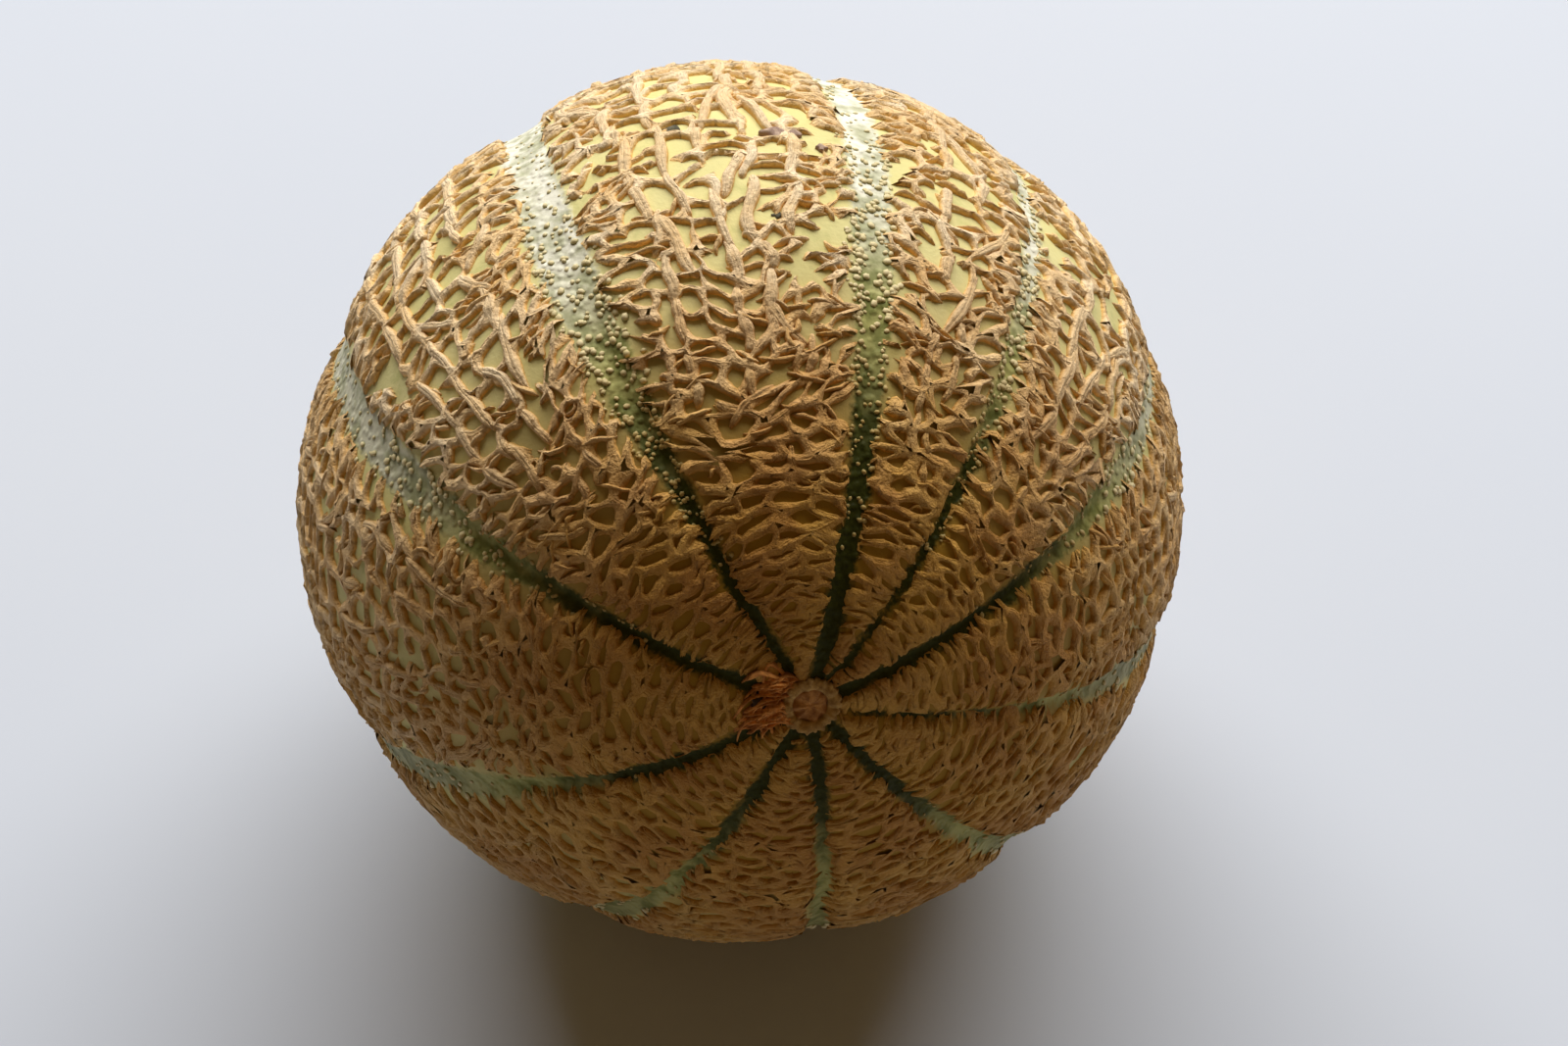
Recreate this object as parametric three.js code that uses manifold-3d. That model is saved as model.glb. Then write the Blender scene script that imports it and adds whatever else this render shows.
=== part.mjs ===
// A ripe netted muskmelon lying on a flat surface, as one solid: ten ribs between ten bare sutures,
// a raised corky net on the ribs, the blossom scar at one end and the stem scar at the other.
// Millimetres, +Z up. The origin is the middle of the flat spot that the fruit rests on, right
// under its centre. The blossom end looks towards -Y and a little up.
//
// The fruit's own frame has its centre at the origin and +Z along its axis to the blossom scar.
// A place on the rind is a polar angle from the blossom scar and a longitude, which runs
// anticlockwise seen from outside the blossom end and is zero on the side that lies uppermost.
import * as THREE from "three";
import { ConvexHull } from "three/addons/math/ConvexHull.js";
import { mergeVertices } from "three/addons/utils/BufferGeometryUtils.js";
import Module from "manifold-3d";

const wasm = await Module();
wasm.setup();

// The body
const EQUATOR_RADIUS = 69.5; // at the crown of a rib
const POLE_RADIUS = 69; // from the centre to either end, before the end dishes in
const RIB_DEPTH = 1.5; // how far the suture beside a rib of usual width lies under its crown
const USUAL_RIB_DEG = 36;
const VALLEY_POWER = 3; // high numbers keep the crown broad and the valley narrow
const SUTURES_DEG = [24, 61, 110, 147, 181, 215, 252, 287, 316, 341];
const BLOSSOM_DISH = { depth: 1.4, spreadDeg: 11 };
const STEM_DISH = { depth: 3, spreadDeg: 13 };

// How the fruit lies
const AXIS_RISE_DEG = 28.4; // the blossom end above the horizontal
const AXIS_TURN_DEG = 10.1; // and its heading, from -Y towards +X
const FLAT_SPOT_RADIUS = 13; // where it meets the skin, between the ridges of the net

// The raised net
const CELL_WIDTH = 10.7; // across a rib
const CELL_LENGTH = 9.1; // along a rib
const NET_HEIGHT = 1.4;
const NET_HEIGHT_AT_SUTURE = 0.9; // where the ridges run out on a suture's edge
const RIDGE_HALF_WIDTH = 1.4; // at its foot
const SITE_JITTER = 0.27; // as a share of the cell
const HEIGHT_SPREAD = 0.3; // ridges stand this share above or below the usual height
const NET_FROM_DEG = 9; // polar angle at which the net starts, at either end
const LOW_NET = { share: 0.5, untilDeg: 34 }; // the net is low near the ends
const SHORTEST_RIDGE = 1.3; // corners of the net closer than this are one corner
const BARE_SUTURE_FROM_DEG = 22; // nearer the ends the net crosses the sutures
const BARE_PATCH_LENGTH = 7.5; // along a suture
const SUTURE_HALF_WIDTH = { ends: 0.6, equator: 2.6 };

// The scars
const BLOSSOM_SCAR_RADIUS = 4.8;
const STEM_SCAR_RADIUS = 6.5;
const SCAR_SIDES = 20;
const SCAR_ROOT = 2.5; // how deep each scar is sunk in the rind

const SEED = 20;
const RIND_COLOUR = 0xc9a66b;

const { degToRad } = THREE.MathUtils;

// Random numbers from 0 to 1, the same ones each time.
function seededRandom(seed) {
  let state = seed;
  return () => {
    state = (state + 0x6d2b79f5) | 0;
    let mixed = Math.imul(state ^ (state >>> 15), 1 | state);
    mixed = (mixed + Math.imul(mixed ^ (mixed >>> 7), 61 | mixed)) ^ mixed;
    return ((mixed ^ (mixed >>> 14)) >>> 0) / 2 ** 32;
  };
}

// The unit direction to a place on the rind, in the fruit's frame.
function direction(polar, longitude) {
  const around = new THREE.Vector3(Math.cos(longitude), Math.sin(longitude), 0);
  return around.multiplyScalar(Math.sin(polar)).setZ(Math.cos(polar));
}

const ribs = SUTURES_DEG.map((start, i) => {
  const end = i + 1 < SUTURES_DEG.length ? SUTURES_DEG[i + 1] : SUTURES_DEG[0] + 360;
  return { start: degToRad(start), width: degToRad(end - start) };
});

// The rib at a longitude, and the place across it: -1 and 1 on its sutures, 0 on its crown.
function ribAt(longitude) {
  const turn = 2 * Math.PI;
  for (const rib of ribs) {
    const past = THREE.MathUtils.euclideanModulo(longitude - rib.start, turn);
    if (past < rib.width) return { rib, across: (2 * past) / rib.width - 1 };
  }
  return { rib: ribs[0], across: -1 };
}

const dish = ({ depth, spreadDeg }, angle) => depth * Math.exp(-((angle / degToRad(spreadDeg)) ** 2));

// Distance from the fruit's centre to its skin, without the net.
function rindRadius(dir) {
  const polar = Math.acos(THREE.MathUtils.clamp(dir.z, -1, 1));
  const { rib, across } = ribAt(Math.atan2(dir.y, dir.x));
  const body = 1 / Math.hypot(Math.sin(polar) / EQUATOR_RADIUS, Math.cos(polar) / POLE_RADIUS);
  const swell = rib.width / degToRad(USUAL_RIB_DEG);
  const valley = RIB_DEPTH * Math.sin(polar) * (1 + (Math.abs(across) ** VALLEY_POWER - 1) * swell);
  return body - valley - dish(BLOSSOM_DISH, polar) - dish(STEM_DISH, Math.PI - polar);
}

const sutureHalfWidth = (polar) =>
  THREE.MathUtils.lerp(SUTURE_HALF_WIDTH.ends, SUTURE_HALF_WIDTH.equator, Math.sin(polar));

// The middles of the net's cells, row by row on each rib, and of the bare patches of the sutures.
function placeSites(random) {
  const sites = [
    { dir: direction(0, 0), bare: true },
    { dir: direction(Math.PI, 0), bare: true },
  ];
  const jitter = () => (random() * 2 - 1) * SITE_JITTER;
  const from = degToRad(NET_FROM_DEG);
  const span = Math.PI - 2 * from;
  const rows = Math.round((span * EQUATOR_RADIUS) / CELL_LENGTH);
  for (let row = 0; row < rows; row++) {
    for (const rib of ribs) {
      const middle = from + (span * (row + 0.5)) / rows;
      const ring = EQUATOR_RADIUS * Math.sin(middle);
      const width = rib.width * ring - 2 * sutureHalfWidth(middle);
      const columns = Math.max(1, Math.round(width / CELL_WIDTH));
      for (let column = 0; column < columns; column++) {
        const stagger = column % 2 ? 0.25 : -0.25;
        const polar = middle + (span / rows) * (stagger + jitter());
        const offset = (width * (column + 0.5 + jitter())) / columns - width / 2;
        sites.push({ dir: direction(polar, rib.start + rib.width / 2 + offset / ring), bare: false });
      }
    }
  }
  const bareFrom = degToRad(BARE_SUTURE_FROM_DEG);
  const bareSpan = Math.PI - 2 * bareFrom;
  const patches = Math.round((bareSpan * EQUATOR_RADIUS) / BARE_PATCH_LENGTH);
  for (const rib of ribs)
    for (let patch = 0; patch < patches; patch++) {
      const polar = bareFrom + (bareSpan * (patch + 0.5)) / patches;
      sites.push({ dir: direction(polar, rib.start), bare: true });
    }
  return sites;
}

// The cells round the sites, as lists of corner numbers, anticlockwise seen from outside. Three
// cells meet at the middle of each triangle that the sites' convex hull has.
function cellsRound(sites) {
  const hull = new ConvexHull().setFromPoints(sites.map((site) => site.dir));
  const siteOf = new Map(sites.map((site, i) => [site.dir, i]));
  const corners = hull.faces.map((face) => face.normal.clone().normalize());
  const faceFrom = new Map();
  hull.faces.forEach((face, number) => {
    const [a, b, c] = [0, 1, 2].map((i) => siteOf.get(face.getEdge(i).head().point));
    for (const [from, to, last] of [
      [a, b, c],
      [b, c, a],
      [c, a, b],
    ])
      faceFrom.set(from + ">" + to, { number, last });
  });
  const cells = sites.map(() => null);
  for (const key of faceFrom.keys()) {
    const [site, first] = key.split(">").map(Number);
    if (cells[site]) continue;
    cells[site] = [];
    let neighbour = first;
    do {
      const { number, last } = faceFrom.get(site + ">" + neighbour);
      cells[site].push(number);
      neighbour = last;
    } while (neighbour !== first);
  }
  return { cells, corners };
}

// Makes one corner of those that lie too close for a ridge between them.
function joinCloseCorners(cells, corners) {
  const chief = corners.map((_, i) => i);
  const find = (i) => (chief[i] === i ? i : (chief[i] = find(chief[i])));
  const tooClose = SHORTEST_RIDGE / EQUATOR_RADIUS;
  for (const cell of cells)
    cell.forEach((corner, k) => {
      const [a, b] = [find(corner), find(cell[(k + 1) % cell.length])];
      if (a === b || corners[a].distanceTo(corners[b]) > tooClose) return;
      corners[a].add(corners[b]).normalize();
      chief[b] = a;
    });
  return cells.map((cell) => {
    const joined = cell.map(find);
    return joined.filter((corner, k) => corner !== joined[(k + 1) % joined.length]);
  });
}

// The share of its full height that the net has at a place: low near the ends of the fruit.
function netShare(dir) {
  const fromEnd = Math.acos(Math.abs(dir.z));
  const rise = THREE.MathUtils.smoothstep(fromEnd, degToRad(NET_FROM_DEG), degToRad(LOW_NET.untilDeg));
  return THREE.MathUtils.lerp(LOW_NET.share, 1, rise);
}

// The rind with its net, in the fruit's frame. Each net cell is a pit: its outline runs along the
// crests of the ridges round it, and slopes down to a floor on the skin.
function nettedRind(random) {
  const sites = placeSites(random);
  const { cells: rawCells, corners } = cellsRound(sites);
  const cells = joinCloseCorners(rawCells, corners);
  const positions = [];
  const faces = [];
  const addPoint = (dir, height) => {
    const point = dir.clone().multiplyScalar(rindRadius(dir) + height);
    return positions.push(point.x, point.y, point.z) / 3 - 1;
  };

  const bareRound = corners.map(() => 0);
  cells.forEach((cell, i) => {
    if (sites[i].bare) for (const corner of cell) bareRound[corner]++;
  });
  const heights = [NET_HEIGHT, NET_HEIGHT_AT_SUTURE];
  const crest = corners.map((dir, i) => {
    const spread = 1 + (random() * 2 - 1) * HEIGHT_SPREAD;
    return addPoint(dir, (heights[bareRound[i]] ?? 0) * netShare(dir) * spread);
  });

  cells.forEach((cell, i) => {
    const site = sites[i];
    const middle = addPoint(site.dir, 0);
    let outline = cell.map((corner) => crest[corner]);
    if (!site.bare) {
      const reach = cell.reduce((sum, corner) => sum + corners[corner].distanceTo(site.dir), 0);
      const inset = (RIDGE_HALF_WIDTH * cell.length) / (reach * EQUATOR_RADIUS);
      const floor = cell.map((corner) =>
        addPoint(corners[corner].clone().lerp(site.dir, inset).normalize(), 0),
      );
      outline.forEach((from, k) => {
        const next = (k + 1) % cell.length;
        faces.push(from, outline[next], floor[next], from, floor[next], floor[k]);
      });
      outline = floor;
    }
    outline.forEach((from, k) => faces.push(from, outline[(k + 1) % outline.length], middle));
  });

  const geometry = new THREE.BufferGeometry();
  geometry.setAttribute("position", new THREE.Float32BufferAttribute(positions, 3));
  geometry.setIndex(faces);
  return geometry;
}

// A round corky scar that stands on the skin, with a raised rim, a dished middle and a button in
// it, turned about the fruit's axis. Its root goes on into the flesh.
function scarGeometry(radius) {
  const profile = [
    [0, -SCAR_ROOT],
    [radius, -SCAR_ROOT],
    [radius, 0.35],
    [radius * 0.86, 0.8],
    [radius * 0.62, 0.55],
    [radius * 0.5, 0.05],
    [radius * 0.24, 0.45],
    [0, 0.5],
  ].map(([across, up]) => new THREE.Vector2(across, up));
  return new THREE.LatheGeometry(profile, SCAR_SIDES).rotateX(Math.PI / 2);
}

function solidOf(geometry) {
  const bare = geometry.index ? geometry.toNonIndexed() : geometry.clone();
  bare.deleteAttribute("normal");
  bare.deleteAttribute("uv");
  const merged = mergeVertices(bare, 1e-4);
  return new wasm.Manifold(
    new wasm.Mesh({
      numProp: 3,
      vertProperties: merged.attributes.position.array,
      triVerts: new Uint32Array(merged.index.array),
    }),
  );
}

function geometryOf(solid) {
  const mesh = solid.getMesh();
  const geometry = new THREE.BufferGeometry();
  geometry.setAttribute("position", new THREE.BufferAttribute(mesh.vertProperties, 3));
  geometry.setIndex(new THREE.BufferAttribute(mesh.triVerts, 1));
  geometry.computeVertexNormals();
  return geometry;
}

// The turn from the fruit's frame to the way it lies.
function restingTurn() {
  const rise = degToRad(AXIS_RISE_DEG);
  const turn = degToRad(AXIS_TURN_DEG);
  const axis = new THREE.Vector3(
    Math.cos(rise) * Math.sin(turn),
    -Math.cos(rise) * Math.cos(turn),
    Math.sin(rise),
  );
  const uppermost = new THREE.Vector3(0, 0, 1).addScaledVector(axis, -axis.z).normalize();
  return new THREE.Matrix4().makeBasis(uppermost, axis.clone().cross(uppermost), axis);
}

function melonGeometry() {
  const north = new THREE.Vector3(0, 0, 1);
  const blossomScar = scarGeometry(BLOSSOM_SCAR_RADIUS).translate(0, 0, rindRadius(north));
  const stemScar = scarGeometry(STEM_SCAR_RADIUS)
    .rotateX(Math.PI)
    .translate(0, 0, -rindRadius(north.clone().negate()));
  const turn = restingTurn();
  const [rind, ...scars] = [nettedRind(seededRandom(SEED)), blossomScar, stemScar].map((geometry) =>
    solidOf(geometry.applyMatrix4(turn)),
  );

  const down = new THREE.Vector3(0, 0, -1).applyMatrix4(turn.clone().invert());
  const reach = rindRadius(down);
  const restHeight = reach - FLAT_SPOT_RADIUS ** 2 / (2 * reach);
  const slab = new THREE.BoxGeometry(2 * EQUATOR_RADIUS, 2 * EQUATOR_RADIUS, EQUATOR_RADIUS);
  slab.translate(0, 0, -restHeight - EQUATOR_RADIUS / 2);
  const lying = scars.reduce((fruit, scar) => fruit.add(scar), rind).subtract(solidOf(slab));
  return geometryOf(lying).translate(0, 0, restHeight);
}

const melon = new THREE.Mesh(
  melonGeometry(),
  new THREE.MeshStandardMaterial({ color: RIND_COLOUR, roughness: 0.85, metalness: 0, flatShading: true }),
);
melon.name = "melon";

const group = new THREE.Group();
group.add(melon);
export default group;
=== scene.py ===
from math import cos, pi, radians, sin

import bpy
import numpy as np
from mathutils import Matrix, Vector


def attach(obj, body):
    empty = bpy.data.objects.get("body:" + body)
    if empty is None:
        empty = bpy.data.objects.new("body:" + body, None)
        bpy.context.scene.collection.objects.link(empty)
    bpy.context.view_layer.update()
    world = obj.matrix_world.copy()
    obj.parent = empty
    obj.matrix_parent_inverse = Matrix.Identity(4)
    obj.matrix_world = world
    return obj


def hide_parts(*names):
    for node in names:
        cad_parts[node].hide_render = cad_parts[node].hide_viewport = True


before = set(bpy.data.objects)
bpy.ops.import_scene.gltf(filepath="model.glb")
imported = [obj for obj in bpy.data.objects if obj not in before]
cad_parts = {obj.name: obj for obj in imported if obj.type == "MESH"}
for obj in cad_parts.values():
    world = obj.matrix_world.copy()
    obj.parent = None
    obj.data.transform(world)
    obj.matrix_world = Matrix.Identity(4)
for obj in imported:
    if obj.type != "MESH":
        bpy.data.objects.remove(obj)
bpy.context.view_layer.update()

MM = 0.001

# The body, as the solid has it
RADIUS = 69.5 * MM  # at the equator, and that by which distances over the rind are measured
POLE_RADIUS = 69 * MM
RIB_LENGTH = pi * RADIUS
MIDWAY = pi / 2 * RADIUS
RIB_DEPTH = 1.5 * MM
USUAL_RIB = radians(36)
VALLEY_POWER = 3
SUTURES = np.radians([24, 61, 110, 147, 181, 215, 252, 287, 316, 341])
SUTURE_ROUNDING = 2.2 * MM
LEAST_SINE = 0.02  # keeps a rib from having no width at all at the ends
BLOSSOM_DISH = (1.4 * MM, radians(11))  # depth and spread
STEM_DISH = (3 * MM, radians(13))
AXIS_RISE = radians(28.4)
AXIS_TURN = radians(10.1)
FLAT_SPOT_RADIUS = 13 * MM

# How open the net is on each rib: 1 has long straps and wide cells, 0 has dense short ridges
OPENNESS = [0.95, 0.7, 0.35, 0.3, 0.3, 0.35, 0.55, 0.9, 0.9, 1.0]

# The bare band along each suture: half its width near the ends and at the equator, the angle from the
# nearer end up to which it is a dark green groove, how much of its pale colour shows beyond that, the
# rest being a darker copy painted as shade where the suture lies in shadow, and how many beads of
# cork stand along it
BAND_AT_ENDS = np.array([1.15, 1.2, 1.2, 1.2, 1.15, 1.25, 0.6, 1.3, 0.85, 1.7]) * MM
BAND_AT_EQUATOR = np.array([3.9, 3.2, 3.0, 3.2, 2.8, 3.2, 2.6, 2.2, 1.6, 3.0]) * MM
GREEN_UNTIL = np.radians([44, 41, 36, 29, 27, 30, 29, 42, 46, 46])
# Painted shade: below 1 the band's pale colour gives way to a darker copy on the sutures that lie in shadow
BAND_IN_LIGHT = np.array([1.0, 0.6, 0.15, 0.0, 0.0, 0.0, 0.2, 0.45, 0.9, 1.0])
BEADS = [420, 180, 80, 60, 50, 50, 60, 140, 260, 420]
GROOVE_DEPTH = 0.7 * MM
GROOVE_WIDTH = 1.2 * MM

# Angles from the nearer end of the fruit, between which its looks change
GROOVE_FADES = np.radians([35, 60])
BAND_WIDENS = np.radians([24, 62])
NET_OPENS = np.radians([27, 52])
NET_GROWS_BOLD = np.radians([12, 42])
CELLS_GROW = np.radians([8, 34])
FRINGE_GROWS = np.radians([15, 55])
FISHBONE_STARTS = np.radians([24, 38])
FISHBONE_ENDS = np.radians([58, 78])
CORK_GROWS_PALE = np.radians([22, 72])

SEED = 11
BEAD_SEED, SCAR_SEED, BLEMISH_SEED = 101, 81, 91

# What turns a corner's whole numbers into one that looks random
HASH_PRIMES = [73856093, 19349663, 83492791]
HASH_FACTOR = 1274126177
NOISE_SHIFT = 31.7


def smoothstep(low, high, value):
    share = np.clip((value - low) / (high - low), 0, 1)
    return share * share * (3 - 2 * share)


def lerp(a, b, share):
    return a + (b - a) * share


def unit(vectors):
    return vectors / np.linalg.norm(vectors, axis=-1, keepdims=True)


def direction(polar, longitude):
    """The direction from the fruit's centre to a place on its rind."""
    out = np.sin(polar)
    return np.stack([out * np.cos(longitude), out * np.sin(longitude), np.cos(polar)], axis=-1)


def polar_of(places):
    return np.arccos(np.clip(places[..., 2], -1, 1))


def nearer_end(polar):
    """The angle from the nearer end of the fruit."""
    return np.minimum(polar, pi - polar)


def noise(places, grain, seed):
    """Smooth noise from -1 to 1 over the rind, with bumps about as wide as grain."""
    spots = places * RADIUS / grain + NOISE_SHIFT * (seed + 1)
    cells = np.floor(spots).astype(np.int64)
    blend = spots - cells
    blend = blend * blend * (3 - 2 * blend)
    total = np.zeros(places.shape[:-1])
    for corner in range(8):
        step = np.array([corner & 1, corner >> 1 & 1, corner >> 2 & 1])
        key = ((cells + step) * HASH_PRIMES).sum(axis=-1)
        key = (key ^ (key >> 13)) * HASH_FACTOR
        key = (key ^ (key >> 16)) & 0xFFFF
        weight = np.where(step, blend, 1 - blend).prod(axis=-1)
        total += weight * (key / 0x8000 - 1)
    return total


class Rib:
    """One rib, between the suture that it starts at and the next one."""

    def __init__(self, number):
        start = SUTURES[number]
        end = SUTURES[(number + 1) % len(SUTURES)]
        self.number = number
        self.width = (end - start) % (2 * pi)
        self.middle = start + self.width / 2
        self.openness = OPENNESS[number]

    def half_width(self, s):
        return self.width / 2 * RADIUS * np.sin(s / RADIUS)

    def place(self, s, x):
        polar = s / RADIUS
        return direction(polar, self.middle + x / (RADIUS * np.sin(polar)))


RIBS = [Rib(number) for number in range(len(SUTURES))]


def rind_radius(places):
    """Distance from the fruit's centre to its skin, in the directions given."""
    polar = polar_of(places)
    past = np.mod(np.arctan2(places[..., 1], places[..., 0]) - SUTURES[0], 2 * pi)
    number = np.searchsorted(SUTURES - SUTURES[0], past, side="right") - 1
    widths = np.array([rib.width for rib in RIBS])[number]
    half_arc = widths / 2 * RADIUS * np.maximum(np.sin(polar), LEAST_SINE)
    from_suture = (1 - np.abs(2 * (past - (SUTURES - SUTURES[0])[number]) / widths - 1)) * half_arc
    across = np.clip(1 - np.hypot(from_suture, SUTURE_ROUNDING) / half_arc, 0, 1)
    body = 1 / np.hypot(np.sin(polar) / RADIUS, np.cos(polar) / POLE_RADIUS)
    valley = RIB_DEPTH * np.sin(polar) * (1 + (across**VALLEY_POWER - 1) * widths / USUAL_RIB)
    groove = 1 - smoothstep(*GROOVE_FADES, nearer_end(polar))
    valley += GROOVE_DEPTH * groove * np.exp(-((from_suture / GROOVE_WIDTH) ** 2))
    ends = sum(
        depth * np.exp(-((angle / spread) ** 2))
        for (depth, spread), angle in ((BLOSSOM_DISH, polar), (STEM_DISH, pi - polar))
    )
    return body - valley - ends


def raised(places, height):
    """Points at a height over the skin."""
    return places * (rind_radius(places) + height)[..., None]


def nearest_suture(places):
    """Which suture is nearest, and how far over the rind it is."""
    longitude = np.arctan2(places[..., 1], places[..., 0])
    off = np.abs(np.mod(longitude[..., None] - SUTURES + pi, 2 * pi) - pi)
    return off.argmin(axis=-1), off.min(axis=-1) * RADIUS * np.sin(polar_of(places))


def band(suture, polar):
    """Half the width of the bare band along a suture."""
    wide = smoothstep(*BAND_WIDENS, nearer_end(polar))
    return lerp(BAND_AT_ENDS[suture], BAND_AT_EQUATOR[suture], wide)


def restful_turn():
    """The turn from the fruit's frame to the way it lies."""
    axis = Vector((cos(AXIS_RISE) * sin(AXIS_TURN), -cos(AXIS_RISE) * cos(AXIS_TURN), sin(AXIS_RISE)))
    uppermost = (Vector((0, 0, 1)) - axis * axis.z).normalized()
    return np.array(Matrix((uppermost, axis.cross(uppermost), axis)).transposed())


TURN = restful_turn()
REACH_DOWN = rind_radius(TURN.T @ np.array([0, 0, -1.0]))
REST_HEIGHT = REACH_DOWN - FLAT_SPOT_RADIUS**2 / (2 * REACH_DOWN)
CENTRE = np.array([0, 0, REST_HEIGHT])


def lay_down(points):
    """From the fruit's frame to the world, pressed flat where the fruit bears."""
    placed = points @ TURN.T + CENTRE
    placed[..., 2] = np.maximum(placed[..., 2], 0)
    return placed


def add_piece(name, surface, material):
    """A smooth piece that rides on the body in the solid's place. Its surface is points in the fruit's
    frame, faces, and numbers or vectors on the points."""
    points, faces, attributes = surface
    mesh = bpy.data.meshes.new(name)
    mesh.from_pydata(lay_down(points.reshape(-1, 3)).tolist(), [], faces)
    for key, values in attributes.items():
        kind, field = ("FLOAT", "value") if values.ndim == 1 else ("FLOAT_VECTOR", "vector")
        mesh.attributes.new(key, kind, "POINT").data.foreach_set(field, values.ravel().astype(np.float32))
    mesh.validate()
    mesh.shade_smooth()
    mesh.materials.append(material)
    piece = bpy.data.objects.new(name, mesh)
    bpy.context.scene.collection.objects.link(piece)
    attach(piece, "root")
    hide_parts("melon")


def walls_between(first, second):
    """Faces between rings of points and the next rings inwards, all anticlockwise from outside."""
    corners = [first, np.roll(first, -1, axis=-1), np.roll(second, -1, axis=-1), second]
    return np.stack(corners, axis=-1).reshape(-1, 4)


# The net. On each rib it is a sheet of ridges round cells. Seeds stand in rows across the rib, and the
# lines halfway between a seed and its neighbours bound its cell. Along the rib's edges runs a fringe
# of smaller cells.

NET_ANGLE = radians(4.5)
NET_START = NET_ANGLE * RADIUS
NET_END = (pi - NET_ANGLE) * RADIUS
NET_OVER_BAND = 0.45 * MM
LEAST_EDGE = 0.3 * MM
BOLDNESS_AT_ENDS = 0.5
# Below 0, the dense ribs' cork is browner still: partly painted shade
DENSE_RIB_PALENESS = -0.1

# Cells: length along the rib and width across it
OPEN_CELL = (4.3 * MM, 5.9 * MM)
DENSE_CELL = (2.3 * MM, 5.0 * MM)
END_CELL = (1.6 * MM, 4.8 * MM)
FRINGE_CELL = (2.2 * MM, 3.9 * MM)
LARGE_CELL = 3 * MM  # the length from which a cell has the open net's ridges
FRINGE_LENGTH = (0.8 * MM, 4.4 * MM)  # near the ends and at the equator
FRINGE_BLEND = (-1 * MM, 1.5 * MM)
FISHBONE_SLANT = 0.55
FISHBONE_SPINE = 2.5 * MM
COLUMNS_FROM = 0.3  # the openness from which the seeds keep to columns

# How unevenly the seeds stand, as shares of a cell's width or length
COLUMN_SHIFT = 0.07
ROW_OFFSET = 0.25
ROW_SHIFT = 0.12
STEP_SHIFT = 0.17
STAGGER = 0.5
ROW_SPACING = (0.85, 1.15)
LOST_SEEDS = 0.16  # the share of cells in the dense net whose neighbours have grown over them
NEIGHBOURS = 14

# Ridges. A profile runs from the crest to the foot: share of the half width, share of the height, and
# depth under the skin as a share of the root's.
OPEN_RIDGE = np.array(
    [(0.0, 1.0, 0.0), (0.42, 0.95, 0.0), (0.76, 0.7, 0.0), (1.0, 0.24, 0.0), (1.16, 0.0, 1.0)]
)
DENSE_RIDGE = np.array([(0.0, 1.0, 0.0), (0.66, 0.97, 0.0), (0.98, 0.4, 0.0), (1.1, 0.0, 1.0)])
OPEN_CELL_SIDES = 20
DENSE_CELL_SIDES = 12
OPEN_HALF_WIDTH, DENSE_HALF_WIDTH = 0.54, 0.84  # millimetres
OPEN_HEIGHT, DENSE_HEIGHT = 0.84, 0.76  # millimetres
ROOT = 0.3 * MM
CREST_OVERLAP = 0.22 * MM
CORNER_ROUNDING = 9
RIDGE_GAPS = (-0.95, -0.45)  # how low the noise is where ridges have worn away, dense net and open net
GAP_EDGE = 0.14


def growth(angles, s):
    """From 0 to 1 between two angles from the nearer end of the fruit."""
    return smoothstep(*angles, np.minimum(s, RIB_LENGTH - s) / RADIUS)


def openness_at(rib, s):
    """How open the net is at a place: it closes up towards both ends."""
    return rib.openness * growth(NET_OPENS, s)


def boldness_at(s):
    """How high and wide the net is at a place, against that at the equator."""
    return lerp(BOLDNESS_AT_ENDS, 1.0, growth(NET_GROWS_BOLD, s))


def browning_and_shade_at(rib, s):
    """How brown the cork is at a place, from 0 to 1: most so at the ends, and more on dense ribs. This is
    partly the cork's real browning and partly painted shade for the darker side of the fruit.
    """
    young = growth(CORK_GROWS_PALE, s)
    return 1 - young * lerp(DENSE_RIB_PALENESS, 1.0, rib.openness)


def fringe_length(s):
    """How far the fringe of small cells reaches in from the rib's edge."""
    return lerp(*FRINGE_LENGTH, growth(FRINGE_GROWS, s))


def rib_edge(rib, side, s):
    """Distance from the rib's middle line to the bare band on one side."""
    suture = (rib.number + (side > 0)) % len(SUTURES)
    edge = rib.half_width(s) - band(suture, s / RADIUS) + NET_OVER_BAND
    return np.maximum(edge, LEAST_EDGE)


def inner_edge(rib, side, s):
    """Distance from the rib's middle line to where its fringe of small cells starts."""
    return np.maximum(rib_edge(rib, side, s) - fringe_length(s), LEAST_EDGE)


def inside_rib(rib, s, x):
    """How far a place is from the bare bands, and less than 0 within them."""
    return np.minimum(rib_edge(rib, 1, s) - x, rib_edge(rib, -1, s) + x)


def middle_cell(rib, s):
    """Size of the cells in the middle of a rib, along it and across it."""
    openness = openness_at(rib, s)
    grown = growth(CELLS_GROW, s)
    return [lerp(lerp(END_CELL[i], DENSE_CELL[i], grown), OPEN_CELL[i], openness) for i in (0, 1)]


def fringe_cell(s):
    """Size of the cells in the fringe, along the rib and across it."""
    grown = growth(CELLS_GROW, s)
    return [lerp(END_CELL[i], FRINGE_CELL[i], grown) for i in (0, 1)]


def slant_at(rib, s):
    """How far the rows run away from the nearer end for each step away from the rib's middle line."""
    toward = np.where(s < MIDWAY, 1, -1)
    reach = growth(FISHBONE_STARTS, s) - growth(FISHBONE_ENDS, s)
    return FISHBONE_SLANT * rib.openness * reach * toward


def local_shape(rib, s, x):
    """Length and width of the cells at a place, and the slant of their rows there."""
    share = smoothstep(*FRINGE_BLEND, inside_rib(rib, s, x) - fringe_length(s))
    size = [lerp(small, large, share) for small, large in zip(fringe_cell(s), middle_cell(rib, s))]
    return size[0], size[1], slant_at(rib, s) * np.tanh(x / FISHBONE_SPINE)


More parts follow.
